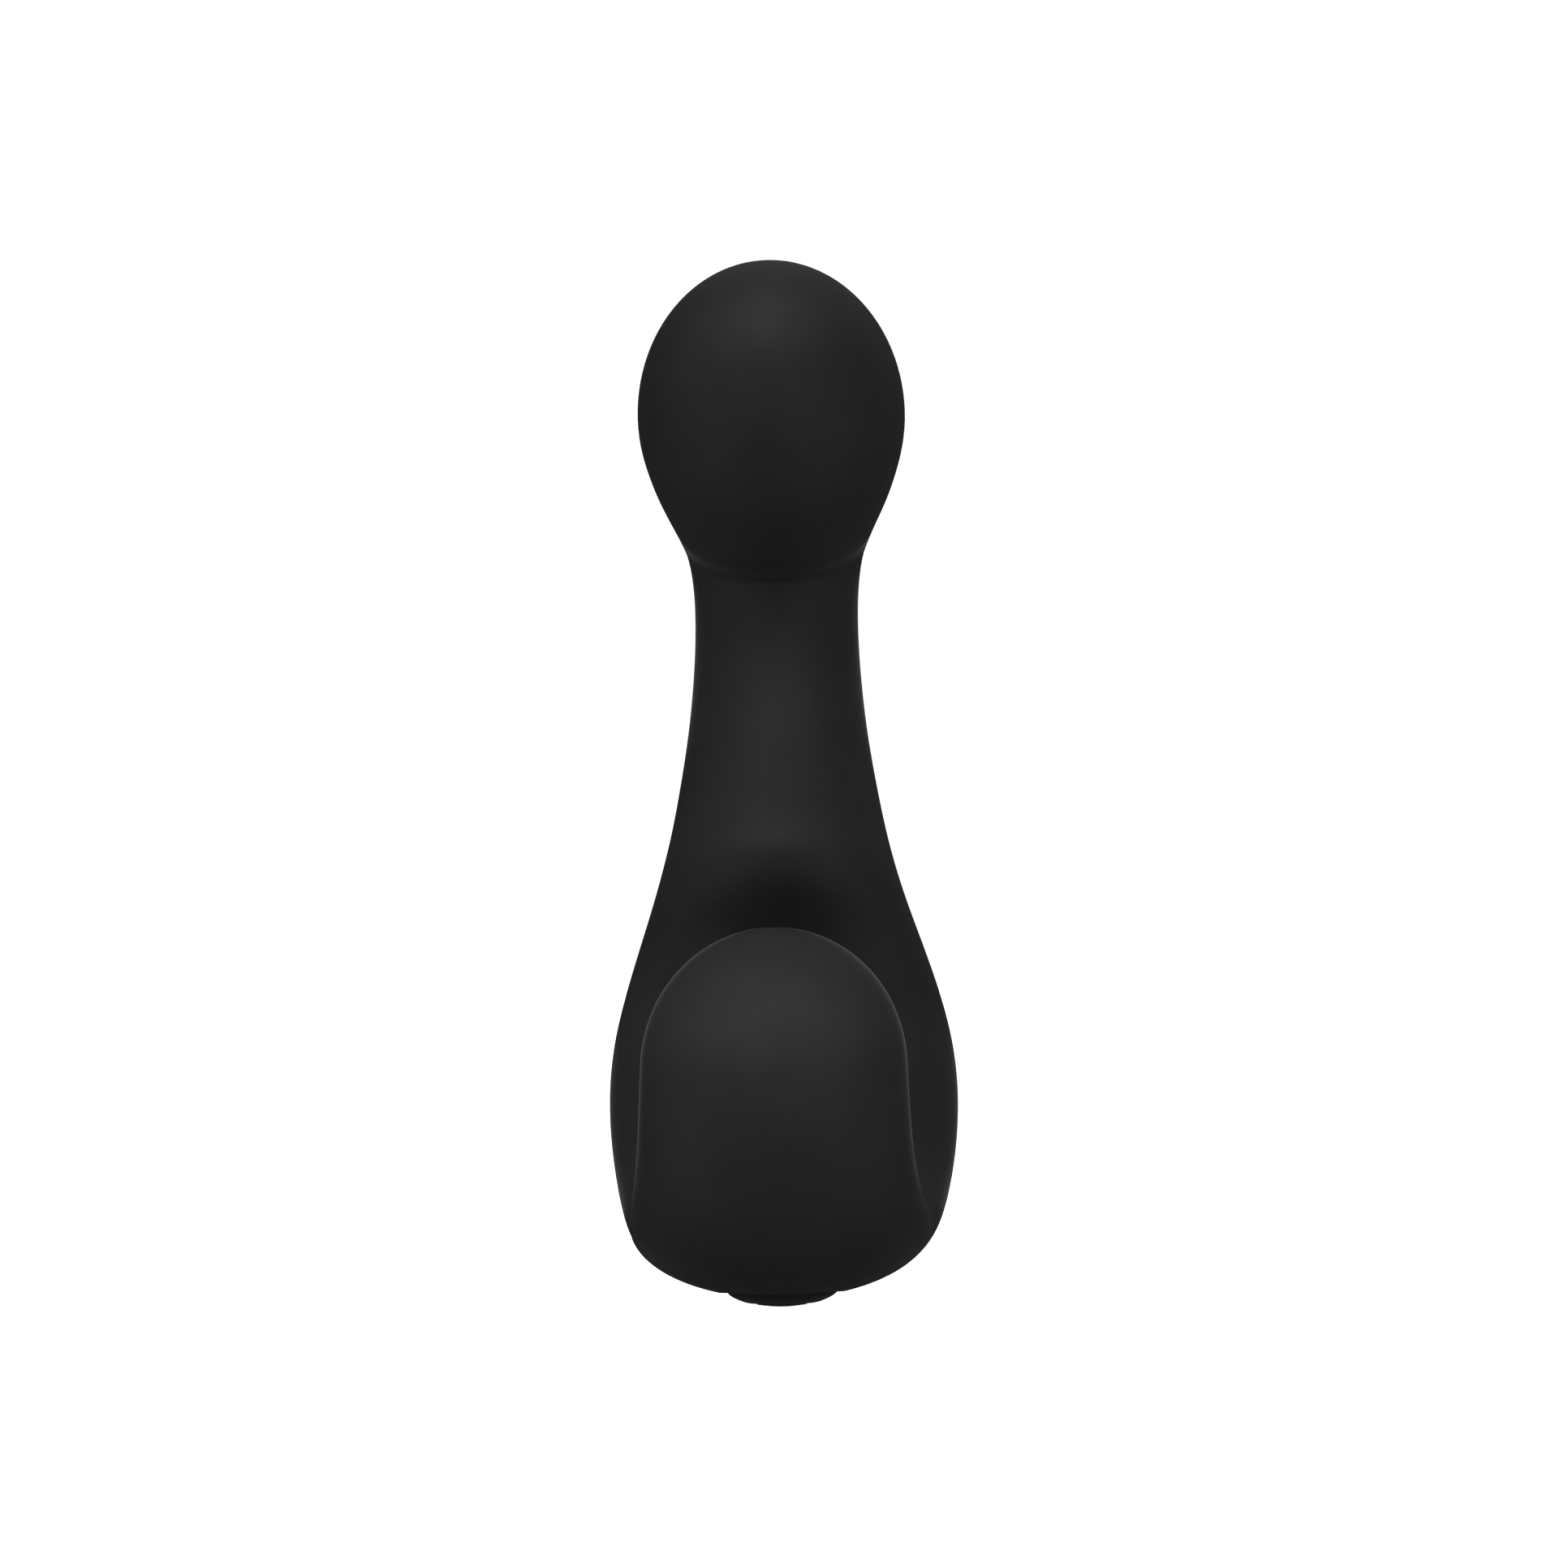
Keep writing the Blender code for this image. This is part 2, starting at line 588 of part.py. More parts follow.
def build_motor(name, place, lean, sizes, finish):
    """A can motor on its own leaning axis, open end down, weight on top."""
    radius, length, wall, shaft, weight_radius, weight_length = sizes
    steel, copper, magnet, rubber, plastic = finish
    frame = add_empty(f"{name}_frame", place, (lean, 0.0, 0.0))
    axis = add_empty(f"{name}_axis", (0.0, 0.0, 0.0))
    axis.parent = frame
    bore = shaft + 2 * CLEAR + max(CLEAR, shaft)
    inside = radius - wall
    core = 0.72 * (inside - CLEAR)
    roof = length - wall
    can = ((radius, 0), (radius, length), (bore, length), (bore, roof), (inside, roof), (inside, 0))
    add_object(f"{name}_can", turned(can, closed=True), steel, frame)
    lid = inside - CLEAR
    hole = shaft + CLEAR
    cap = ((0.0, 0.0), (lid, 0.0), (lid, 1.2), (hole, 1.2), (hole, 0.5), (0.0, 0.5))
    add_object(f"{name}_end_cap", turned(cap), plastic, frame)
    ring = ((lid, 1.6), (lid, roof - CLEAR), (core, roof - CLEAR), (core, 1.6))
    add_object(f"{name}_magnet", turned(ring, closed=True), magnet, frame)
    bush_in, bush_out = shaft + CLEAR, bore - CLEAR
    bush = ((bush_in, roof), (bush_out, roof), (bush_out, length + 0.3), (bush_in, length + 0.3))
    add_object(f"{name}_bush", turned(bush, 14, closed=True), copper, frame)
    grip = radius + CLEAR
    skin = ((grip, 1.0), (grip + wall, 1.0), (grip + wall, length - 2.0), (grip, length - 2.0))
    add_object(f"{name}_sleeve", turned(skin, closed=True), rubber, frame)
    drum = core - CLEAR
    end = length + weight_length + 1.4
    rotor = (
        (0.0, 0.8), (shaft, 0.8), (shaft, 2.2), (drum, 2.2), (drum, roof - 0.8),
        (shaft, roof - 0.8), (shaft, end), (0.0, end),
    )
    add_object(f"{name}_rotor", turned(rotor, 16), copper, axis)
    low = length + 0.9
    half_round = eccentric(shaft, weight_radius, low, low + weight_length)
    add_object(f"{name}_weight", half_round, steel, axis)


def build_cradle(place, lean, material):
    """Ring that centres the head motor in the ball head."""
    ring = ((8.4, 6.0), (12.3, 6.0), (12.3, 9.0), (8.4, 9.0))
    cradle = add_object("head_motor_cradle", turned(ring, 24, closed=True), material)
    cradle.location = place
    cradle.rotation_euler = (lean, 0.0, 0.0)


# ----------------------------------------------------------------------- leads


def add_lead(name, route, x, material, thick=0.45):
    """An insulated wire along a smooth curve through (y, z) points, at one x."""
    points = np.array(route)
    run = np.hypot.reduce(np.diff(points, axis=0), axis=1)
    knots = np.r_[0.0, np.cumsum(run)]
    count = max(6, round(knots[-1] / 5.0))
    curve = bpy.data.curves.new(name, "CURVE")
    curve.dimensions = "3D"
    curve.bevel_depth = thick * MM
    curve.bevel_resolution = 1
    curve.use_fill_caps = True
    spline = curve.splines.new("POLY")
    spline.points.add(count)
    smooth = natural_spline(knots, points, np.linspace(0.0, knots[-1], count + 1))
    for point, (y, z) in zip(spline.points, smooth):
        point.co = (*metres(x, y, z), 1.0)
    lead = bpy.data.objects.new(name, curve)
    bpy.context.collection.objects.link(lead)
    curve.materials.append(material)


HEAD_LEAD = (
    (2.2, 11.0), (3.2, 15.0), (4.8, 22.0), (5.4, 34.0), (4.8, 46.0), (3.8, 56.0),
    (4.4, 66.0), (5.0, 76.0), (5.7, 86.0), (7.2, 94.0), (7.6, 99.5), (6.0, 104.7),
)
ARM_LEAD = (
    (-13.6, 9.4), (-15.6, 8.9), (-18.6, 9.2), (-21.6, 11.2), (-23.7, 14.2), (-24.5, 17.0),
    (-24.6, 19.4),
)
BATTERY_LEAD = ((2.4, 11.0), (3.0, 13.4), (5.4, 17.4), (8.6, 20.6), (10.4, 23.4), (10.6, 25.6))


def build_leads(red, black):
    runs = (("head_lead", HEAD_LEAD, 0.0, 1.2), ("arm_lead", ARM_LEAD, 0.0, 1.2))
    runs += (("battery_lead", BATTERY_LEAD, 5.6, 0.9),)
    for name, route, middle, spread in runs:
        add_lead(f"{name}_red", route, middle + spread, red)
        add_lead(f"{name}_black", route, middle - spread, black)


# ------------------------------------------------------------------------ part


def main():
    clear_scene()
    silicone = make_material("silicone", (0.018, 0.018, 0.019), 0.5)
    black_abs = make_material("black_abs", (0.02, 0.02, 0.021), 0.4)
    grey_abs = make_material("grey_abs", (0.3, 0.3, 0.31), 0.45)
    steel = make_material("steel", (0.6, 0.6, 0.61), 0.3, 1.0)
    copper = make_material("copper", (0.72, 0.42, 0.22), 0.35, 1.0)
    gold = make_material("gold", (0.9, 0.66, 0.28), 0.25, 1.0)
    magnet = make_material("magnet", (0.22, 0.22, 0.23), 0.35, 1.0)
    rubber = make_material("rubber", (0.05, 0.05, 0.052), 0.7)
    board = make_material("board", (0.03, 0.16, 0.07), 0.4)
    chip = make_material("chip", (0.03, 0.03, 0.032), 0.45)
    white = make_material("white_nylon", (0.8, 0.79, 0.75), 0.45)
    clear = make_material("clear_lens", (0.85, 0.87, 0.88), 0.1)
    foil = make_material("foil", (0.62, 0.63, 0.65), 0.35, 0.6)
    foam = make_material("foam", (0.1, 0.1, 0.1), 0.9)
    red = make_material("red_pvc", (0.55, 0.04, 0.03), 0.4)
    black = make_material("black_pvc", (0.03, 0.03, 0.03), 0.4)

    build_skin(silicone)
    build_core(grey_abs)
    build_screws(steel)
    build_panel(black_abs)
    build_button(black_abs, rubber)
    build_switch(chip, steel)
    build_contacts(gold, magnet, clear)
    build_board(board, chip, white, clear)
    build_battery(foil, foam)
    finish = (steel, copper, magnet, rubber, white)
    foot_y = HEAD_Y + HEAD_MOTOR_BELOW * math.sin(HEAD_LEAN)
    foot_z = HEAD_Z - HEAD_MOTOR_BELOW * math.cos(HEAD_LEAN)
    head_place = metres(0.0, foot_y, foot_z)
    build_motor("head_motor", head_place, HEAD_LEAN, HEAD_MOTOR, finish)
    build_cradle(head_place, HEAD_LEAN, grey_abs)
    arm_place = metres(0.0, ARM_MOTOR_Y, ARM_MOTOR_Z)
    build_motor("arm_motor", arm_place, 0.0, ARM_MOTOR, finish)
    build_leads(red, black)


main()
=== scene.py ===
import json
import math

import bmesh
import bpy
import numpy as np
from mathutils import Matrix, Vector
from mathutils.bvhtree import BVHTree

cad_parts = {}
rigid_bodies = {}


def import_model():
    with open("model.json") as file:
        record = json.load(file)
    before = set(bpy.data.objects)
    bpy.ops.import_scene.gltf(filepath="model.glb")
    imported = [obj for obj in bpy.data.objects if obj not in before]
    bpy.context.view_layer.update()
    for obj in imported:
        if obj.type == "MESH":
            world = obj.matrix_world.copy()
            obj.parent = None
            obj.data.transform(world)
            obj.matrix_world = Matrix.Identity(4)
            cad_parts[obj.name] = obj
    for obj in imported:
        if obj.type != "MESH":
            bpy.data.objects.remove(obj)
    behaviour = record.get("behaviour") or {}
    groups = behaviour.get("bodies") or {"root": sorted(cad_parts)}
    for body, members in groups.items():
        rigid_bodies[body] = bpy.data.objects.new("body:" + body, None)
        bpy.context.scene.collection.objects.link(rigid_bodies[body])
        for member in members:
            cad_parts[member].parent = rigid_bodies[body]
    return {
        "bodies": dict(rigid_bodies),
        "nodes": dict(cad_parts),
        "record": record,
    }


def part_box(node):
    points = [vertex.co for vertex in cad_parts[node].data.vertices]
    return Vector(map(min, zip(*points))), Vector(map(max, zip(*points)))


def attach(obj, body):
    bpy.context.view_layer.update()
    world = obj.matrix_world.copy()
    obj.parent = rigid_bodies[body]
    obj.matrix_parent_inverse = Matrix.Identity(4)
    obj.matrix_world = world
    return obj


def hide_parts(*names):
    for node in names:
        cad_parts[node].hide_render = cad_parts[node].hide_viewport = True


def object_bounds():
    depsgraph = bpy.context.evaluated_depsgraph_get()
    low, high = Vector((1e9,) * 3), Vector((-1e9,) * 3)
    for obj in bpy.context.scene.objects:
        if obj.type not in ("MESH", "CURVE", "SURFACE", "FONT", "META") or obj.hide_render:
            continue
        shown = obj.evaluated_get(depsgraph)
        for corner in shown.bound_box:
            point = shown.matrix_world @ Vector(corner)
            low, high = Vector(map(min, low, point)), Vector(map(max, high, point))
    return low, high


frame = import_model()
for thing in set(bpy.data.objects) - set(frame["nodes"].values()) - set(frame["bodies"].values()):
    bpy.data.objects.remove(thing, do_unlink=True)
CAD_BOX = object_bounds()

MM = 0.001
SHIFT_Y = 5.216  # a table's Y plus this is the frame's Y
NODES = frame["nodes"]

# ------------------------------------------------------------------ body tables
# The same outer surface that the CAD skin has, read here in finer steps. All lengths are in
# millimetres, except where a comment says m.

ARM_SHOULDER_Z = 31.0
ARM_TIP_RISE = 18.0
ARM_HALF_WIDTH = 17.1
ARM_HALF_DEPTH = 8.1
ARM_ARC_Y = -2.0
ARM_ARC_Z = 23.0
ARM_ARC_RADIUS = 32.0

HEAD_Y = 0.4
HEAD_Z = 115.0
HEAD_LEAN = math.radians(29.0)
HEAD_RADIUS = 17.3
HEAD_REACH = 20.8
# Distance along the head's axis and radius, from the crease up.
HEAD_LOWER = ((-16.6, 12.6), (-14.5, 13.5), (-11.0, 14.95), (-7.0, 16.25), (-3.0, 17.1))

# Outer edge y and z, inner edge y and z, half width: from the arm through the base to the head.
SECTIONS = (
    (-33.0, 31.0, -16.8, 31.0, 17.1),
    (-33.7, 23.5, -16.6, 26.2, 17.4),
    (-31.4, 14.5, -15.4, 22.6, 17.9),
    (-24.8, 6.0, -12.9, 20.7, 18.8),
    (-14.5, 1.7, -10.4, 20.1, 19.3),
    (-3.5, 1.0, -7.6, 20.3, 19.6),
    (8.5, 2.8, -5.0, 21.8, 20.7),
    (17.5, 9.6, -3.1, 25.0, 21.95),
    (22.0, 20.0, -1.9, 30.5, 22.66),
    (23.2, 31.5, -0.6, 36.5, 21.9),
    (22.6, 40.0, -0.3, 43.0, 19.95),
    (21.6, 45.5, -2.9, 49.5, 17.95),
    (20.7, 50.5, -5.9, 54.0, 16.35),
    (20.0, 55.0, -7.0, 58.2, 15.05),
    (19.5, 60.0, -6.0, 62.0, 13.95),
    (19.2, 66.0, -4.7, 67.0, 12.85),
    (19.0, 74.0, -2.8, 74.5, 11.6),
    (18.9, 82.0, -0.9, 82.0, 10.83),
    (18.9, 89.0, -0.1, 88.0, 10.58),
    (19.0, 96.0, -0.3, 91.8, 10.85),
    (19.1, 101.5, -0.9, 93.4, 11.5),
    (19.12, 105.5, -1.44, 94.1, 12.25),
)

SKIN_STEPS = 112  # points round a section
SKIN_STEP = 1.1  # between sections
SKIN_THICK = 1.9
CREASE_ROUND = 1.8  # how far from the crease under the head its rounding starts
CREASE_ROWS = 6
JOINT_REACH = 6  # rows rounded off on each side of where the arm's tip joins its body
JOINT_PASSES = 30
PAINTED_CREASE_BAND = 0.9  # half width of the band of painted sheen, a painted highlight, along the crease
PAINTED_SHEEN = (0.0, 0.42)  # least and most weight of the painted sheen, a painted highlight

# Control panel, its window in the skin, and the button.
PANEL_Y = -3.5
PANEL_HALF_WIDTH = 7.1
PANEL_HALF_LENGTH = 10.2
PANEL_ROUNDNESS = 3.2
WINDOW_GAP = 0.55
WINDOW_ROUND = 0.6
WINDOW_COLUMNS = 8  # half the number of mesh columns that the window spans
WINDOW_REACH = 1.9  # how far out the mesh is eased, in half widths of the window
WINDOW_TURNS = (30.0, 60.0, 90.0)  # degrees through which its edge turns in
BASE_TOP_Z = 12.0  # the base's underside is all below this
BELOW = -50.0  # a height well under the object, where rays towards it start

PANEL_FACE_Z = 0.42
PANEL_TOP_Z = 4.4
PANEL_STEPS = 96
PANEL_LEVELS = (  # how far outside the outline, and height, from the face up
    (-3.2, PANEL_FACE_Z), (-2.75, 0.46), (-2.3, 0.55), (-1.85, 0.7), (-1.4, 0.88),
    (-0.95, 1.09), (-0.55, 1.31), (-0.25, 1.53), (-0.07, 1.75), (0.0, 2.0),
    (0.0, PANEL_TOP_Z - 0.3), (-0.3, PANEL_TOP_Z),
)
BUTTON_CENTRE = (0.0, -7.2)
BUTTON_POCKET_RADIUS = 3.75
BUTTON_POCKET_TOP = 2.9
STEM_BORE_RADIUS = 1.6
SMALL_BORE_RADIUS = 1.2
SMALL_BORES = ((0.0, -1.6), (-2.3, 2.0), (2.3, 2.0))  # light pipe, charging pins
SMALL_BORE_FLARE = 0.15
BORE_STEPS = 48
BORE_START = -2.0  # a height below the panel, from which the cutters rise
NO_MOUTH = -1.5  # a mouth below the panel's face leaves the bore without a chamfer
THROUGH = 9.0  # a height above the panel
WELD = 0.004  # points closer than this are one point

DOME_RADIUS = 2.9
DOME_RISE = 0.24
DOME_STEPS = 14
GROOVE_RADIUS = 2.0
GROOVE_DEPTH = 0.05
GROOVE_WIDTH = 0.16
BUTTON_STEPS = 72
BUTTON_EDGE = ((2.98, 0.66), 0.42, -78.0, 0.0)  # centre, radius and angles of its round
BUTTON_BACK = (  # radius and height, from the button's flange to the end of its stem
    (3.4, 1.55), (3.25, 1.7), (1.5, 1.7), (1.3, 1.9), (1.3, 3.75), (1.15, 3.9), (0.0, 3.9),
)

# ------------------------------------------------------ camera, floor and light tables

CAMERA_DISTANCE = 2.0  # m
CAMERA_LENS = 356.0  # mm on a 36 mm sensor
CAMERA_YAW = math.radians(2.0)
CAMERA_ROLL = math.radians(-0.83)
CAMERA_SIDE = 0.00115  # m
CAMERA_DOWN = 0.0002  # m

WHITE = (1.0, 1.0, 1.0, 1.0)
BACKDROP = 1.1  # strength of the white that the camera sees
FLOOR_HALF = 3.0  # m
FLOOR_DROP = 0.0001  # m
PATCH_RADIUS = 0.030  # m
PATCH_DROP = 0.0002  # m
PATCH_COVER = 0.5

# Soft lobes of light round the object: elevation and bearing in degrees (0 is the front,
# positive to the right), tightness and strength.
LOBES = (
    (-75, 0, 6, 0.303), (90, 0, 10, 0.276),
    (-25, 60, 8, 0.649), (-25, -60, 8, 0.682), (-25, 120, 8, 0.088), (-25, -120, 8, 0.081),
    (-25, 180, 8, 0.025),
    (15, 60, 8, 0.018), (15, 120, 8, 0.119), (15, -120, 8, 0.028),
    (50, 0, 8, 1.150), (50, 60, 8, 0.253), (50, -60, 8, 0.657), (50, 120, 8, 0.177),
    (68, 0, 30, 0.790), (52, 0, 30, 0.633),
    (45, 28, 30, 0.439), (15, 28, 30, 0.217), (-10, 28, 30, 0.548),
    (45, -28, 30, 0.576), (-10, -28, 30, 0.671),
    (0, 90, 40, 0.057), (0, -90, 40, 0.130), (35, -100, 30, 0.282),
    (55, 180, 10, 0.260), (25, 180, 14, 0.120), (-35, 180, 10, 0.120),
)


def place(x, y, z):
    """A point of the section table as a vector in the frame, in metres."""
    return Vector((x, y + SHIFT_Y, z)) * MM


# --------------------------------------------------------------------- materials


class Finish:
    """A procedural material: Principled shader, object coordinates and a few helpers."""

    def __init__(self, name, **values):
        self.material = bpy.data.materials.new(name)
        self.material.use_nodes = True
        self.tree = self.material.node_tree
        self.shader = self.tree.nodes["Principled BSDF"]
        self.coords = self.tree.nodes.new("ShaderNodeTexCoord").outputs["Object"]
        for key, value in values.items():
            self.shader.inputs[key.replace("_", " ")].default_value = value

    def node(self, kind, **values):
        made = self.tree.nodes.new(f"ShaderNode{kind}")
        for key, value in values.items():
            setattr(made, key, value)
        return made

    def link(self, source, target):
        self.tree.links.new(source, target)

    def noise(self, size_mm, detail=3.0, rough=0.55, stretch=None):
        """Noise whose features are about this size, as a 0 to 1 value."""
        made = self.node("TexNoise")
        made.inputs["Scale"].default_value = 1.0 / (size_mm * MM)
        made.inputs["Detail"].default_value = detail
        made.inputs["Roughness"].default_value = rough
        if stretch:
            mapping = self.node("Mapping")
            mapping.inputs["Scale"].default_value = stretch
            self.link(self.coords, mapping.inputs["Vector"])
            self.link(mapping.outputs[0], made.inputs["Vector"])
        else:
            self.link(self.coords, made.inputs["Vector"])
        return made.outputs["Fac"]

    def ranged(self, source, low, high, spread=0.35):
        """The value mapped to a range, with noise's own narrow spread stretched out."""
        made = self.node("MapRange")
        made.inputs["From Min"].default_value = 0.5 - spread
        made.inputs["From Max"].default_value = 0.5 + spread
        made.inputs["To Min"].default_value = low
        made.inputs["To Max"].default_value = high
        self.link(source, made.inputs["Value"])
        return made.outputs["Result"]

    def colours(self, source, dark, light, spread=0.25):
        """A colour between two, by a 0 to 1 value."""
        ramp = self.node("ValToRGB")
        ramp.color_ramp.elements[0].position = 0.5 - spread
        ramp.color_ramp.elements[0].color = (*dark, 1.0)
        ramp.color_ramp.elements[1].position = 0.5 + spread
        ramp.color_ramp.elements[1].color = (*light, 1.0)
        self.link(source, ramp.inputs["Fac"])
        self.link(ramp.outputs["Color"], self.shader.inputs["Base Color"])

    def roughness(self, source, low, high):
        self.link(self.ranged(source, low, high), self.shader.inputs["Roughness"])

    def bump(self, layers):
        """Stacked bumps from (source, height in millimetres) pairs."""
        normal = None
        for source, height in layers:
            made = self.node("Bump")
            made.inputs["Strength"].default_value = 1.0
            made.inputs["Distance"].default_value = height * MM
            self.link(source, made.inputs["Height"])
            if normal is not None:
                self.link(normal, made.inputs["Normal"])
            normal = made.outputs["Normal"]
        self.link(normal, self.shader.inputs["Normal"])


def silicone_finish():
    """Matte black silicone: fine moulded grain, soft mottling and a faint painted sheen, a painted
    highlight that a mask lays on the skin's edges.
    """
    made = Finish("silicone", Specular_IOR_Level=0.2, Sheen_Roughness=0.3)
    mottle = made.noise(9.0, 4.0)
    made.colours(mottle, (0.0195, 0.0195, 0.0199), (0.0250, 0.0249, 0.0251))
    # Sheen weight read from the skin's painted sheen mask: a painted rim highlight and a painted
    # crease highlight.
    painted_sheen_mask = made.node("Attribute", attribute_name="painted_sheen")
    painted_sheen = made.node("MapRange")
    painted_sheen.inputs["To Min"].default_value, painted_sheen.inputs["To Max"].default_value = PAINTED_SHEEN
    made.link(painted_sheen_mask.outputs["Fac"], painted_sheen.inputs["Value"])
    made.link(painted_sheen.outputs["Result"], made.shader.inputs["Sheen Weight"])
    made.roughness(made.noise(3.5, 5.0), 0.44, 0.54)
    made.bump([(made.noise(0.16, 2.0), 0.004), (made.noise(1.3, 2.0), 0.004)])
    return made.material


def plain_finish(name, dark, light, rough, grain=0.2, height=0.004, metallic=0.0, **values):
    """A moulded or machined surface with fine grain and slight colour variation."""
    made = Finish(name, Metallic=metallic, **values)
    made.colours(made.noise(4.0, 3.0), dark, light)
    made.roughness(made.noise(1.5, 4.0), *rough)
    made.bump([(made.noise(grain, 2.0), height)])
    return made.material


def wound_finish():
    """Enamelled copper wire: fine turns round the axis."""
    made = Finish("copper", Metallic=1.0)
    made.colours(made.noise(0.5, 3.0), (0.52, 0.25, 0.11), (0.8, 0.46, 0.24))
    made.roughness(made.noise(0.8, 3.0), 0.28, 0.42)
    made.bump([(made.noise(0.25, 2.0, stretch=(0.2, 0.2, 2.0)), 0.02)])
    return made.material


def brushed_finish():
    """Plated steel with fine drawn lines."""
    made = Finish("steel", Metallic=1.0)
    lines = made.noise(0.2, 3.0, stretch=(2.0, 2.0, 0.1))
    made.colours(made.noise(2.5, 4.0), (0.46, 0.46, 0.47), (0.66, 0.66, 0.67))
    made.roughness(lines, 0.22, 0.38)
    made.bump([(lines, 0.003)])
    return made.material


def board_finish():
    """Green solder mask with copper tracks that show through as lighter lines."""
    made = Finish("board")
    tracks = made.node("TexVoronoi", distance="MANHATTAN")
    tracks.inputs["Scale"].default_value = 900.0
    made.link(made.coords, tracks.inputs["Vector"])
    made.colours(tracks.outputs["Distance"], (0.012, 0.1, 0.035), (0.03, 0.2, 0.08), 0.12)
    made.roughness(made.noise(2.0, 3.0), 0.28, 0.42)
    made.bump([(tracks.outputs["Distance"], 0.01)])
    return made.material


def foam_finish():
    """Closed-cell foam: small open bubbles at the cut surface."""
    made = Finish("foam")
    cells = made.node("TexVoronoi")
    cells.inputs["Scale"].default_value = 2200.0
    made.link(made.coords, cells.inputs["Vector"])
    made.colours(cells.outputs["Distance"], (0.03, 0.03, 0.031), (0.12, 0.12, 0.12), 0.3)
    made.roughness(made.noise(1.0, 3.0), 0.85, 0.95)
    made.bump([(cells.outputs["Distance"], 0.08)])
    return made.material


def foil_finish():
    """Aluminium laminate pouch with small creases."""
    made = Finish("foil", Metallic=0.85)
    creases = made.noise(3.0, 6.0, 0.65)
    made.colours(made.noise(6.0, 3.0), (0.56, 0.57, 0.59), (0.72, 0.73, 0.75))
    made.roughness(made.noise(1.5, 3.0), 0.26, 0.4)
    made.bump([(creases, 0.08)])
    return made.material


# Name: darkest and lightest base colour, range of roughness.
MOULDED = {
    "grey_abs": ((0.27, 0.27, 0.28), (0.33, 0.33, 0.34), (0.42, 0.52)),
    "rubber": ((0.04, 0.04, 0.042), (0.06, 0.06, 0.062), (0.65, 0.8)),
    "white_nylon": ((0.74, 0.73, 0.69), (0.82, 0.81, 0.78), (0.38, 0.5)),
    "red_pvc": ((0.45, 0.03, 0.02), (0.6, 0.05, 0.035), (0.3, 0.42)),
    "black_pvc": ((0.02, 0.02, 0.02), (0.035, 0.035, 0.035), (0.3, 0.42)),
}
POLISHED = {
    "gold": ((0.8, 0.55, 0.2), (0.92, 0.68, 0.3), (0.18, 0.3)),
    "magnet": ((0.2, 0.2, 0.21), (0.28, 0.28, 0.29), (0.25, 0.4)),
}


def all_finishes():
    """Every material by its slot."""
    made = {name: plain_finish(name, *values) for name, values in MOULDED.items()}
    for name, values in POLISHED.items():
        made[name] = plain_finish(name, *values, metallic=1.0)
    made["black_abs"] = plain_finish(
        "black_abs", (0.008, 0.008, 0.0083), (0.011, 0.011, 0.0114), (0.34, 0.46),
        Specular_IOR_Level=0.4,
    )
    made["chip"] = plain_finish(
        "chip", (0.021, 0.021, 0.022), (0.04, 0.04, 0.042), (0.4, 0.55), 0.1, 0.01
    )
    made["clear_lens"] = plain_finish(
        "clear_lens", (0.8, 0.83, 0.85), (0.86, 0.88, 0.9), (0.06, 0.14),
        Transmission_Weight=0.6, IOR=1.49,
    )
    made["silicone"] = silicone_finish()
    made["steel"] = brushed_finish()
    made["copper"] = wound_finish()
    made["board"] = board_finish()
    made["foil"] = foil_finish()
    made["foam"] = foam_finish()
    return made


FINISHES = all_finishes()


# ---------------------------------------------------------------- mesh helpers


def finish_piece(name, bm, slot, body, nodes=(), sharp=40.0):
    """An object from a bmesh, with its material, its body and the nodes that it replaces."""
    bmesh.ops.recalc_face_normals(bm, faces=bm.faces)
    mesh = bpy.data.meshes.new(name)
    bm.to_mesh(mesh)
    bm.free()
    mesh.shade_smooth()
    mesh.set_sharp_from_angle(angle=math.radians(sharp))
    piece = bpy.data.objects.new(name, mesh)
    bpy.context.scene.collection.objects.link(piece)
    mesh.materials.append(FINISHES[slot])
    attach(piece, body)
    if nodes:
        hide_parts(*nodes)
    return piece


def join_rings(bm, low, high):
    """Faces between two rings of points; a ring of one point is a pole."""
    count = max(len(low), len(high))
    for k in range(count):
        following = (k + 1) % count
        if len(low) == 1:
            bm.faces.new((low[0], high[following], high[k]))
        elif len(high) == 1:
            bm.faces.new((low[k], low[following], high[0]))
        else:
            bm.faces.new((low[k], low[following], high[following], high[k]))


def turned(profile, steps, centre):
    """A turned solid about a vertical axis from (radius, height) points in millimetres."""
    bm = bmesh.new()
    rings = []
    for radius, height in profile:
        count = steps if radius else 1
        ring = []
        for k in range(count):
            angle = 2 * math.pi * k / steps
            x = centre[0] + radius * math.cos(angle)
            y = centre[1] + radius * math.sin(angle)
            ring.append(bm.verts.new(place(x, y, height)))
        rings.append(ring)
    for low, high in zip(rings, rings[1:]):
        join_rings(bm, low, high)
    bmesh.ops.recalc_face_normals(bm, faces=bm.faces)
    return bm


def arc(centre, radius, start, end, steps):
    """Points of an arc in a profile, in degrees."""
    points = []
    for k in range(steps + 1):
        angle = math.radians(start + (end - start) * k / steps)
        points.append((centre[0] + radius * math.cos(angle), centre[1] + radius * math.sin(angle)))
    return points


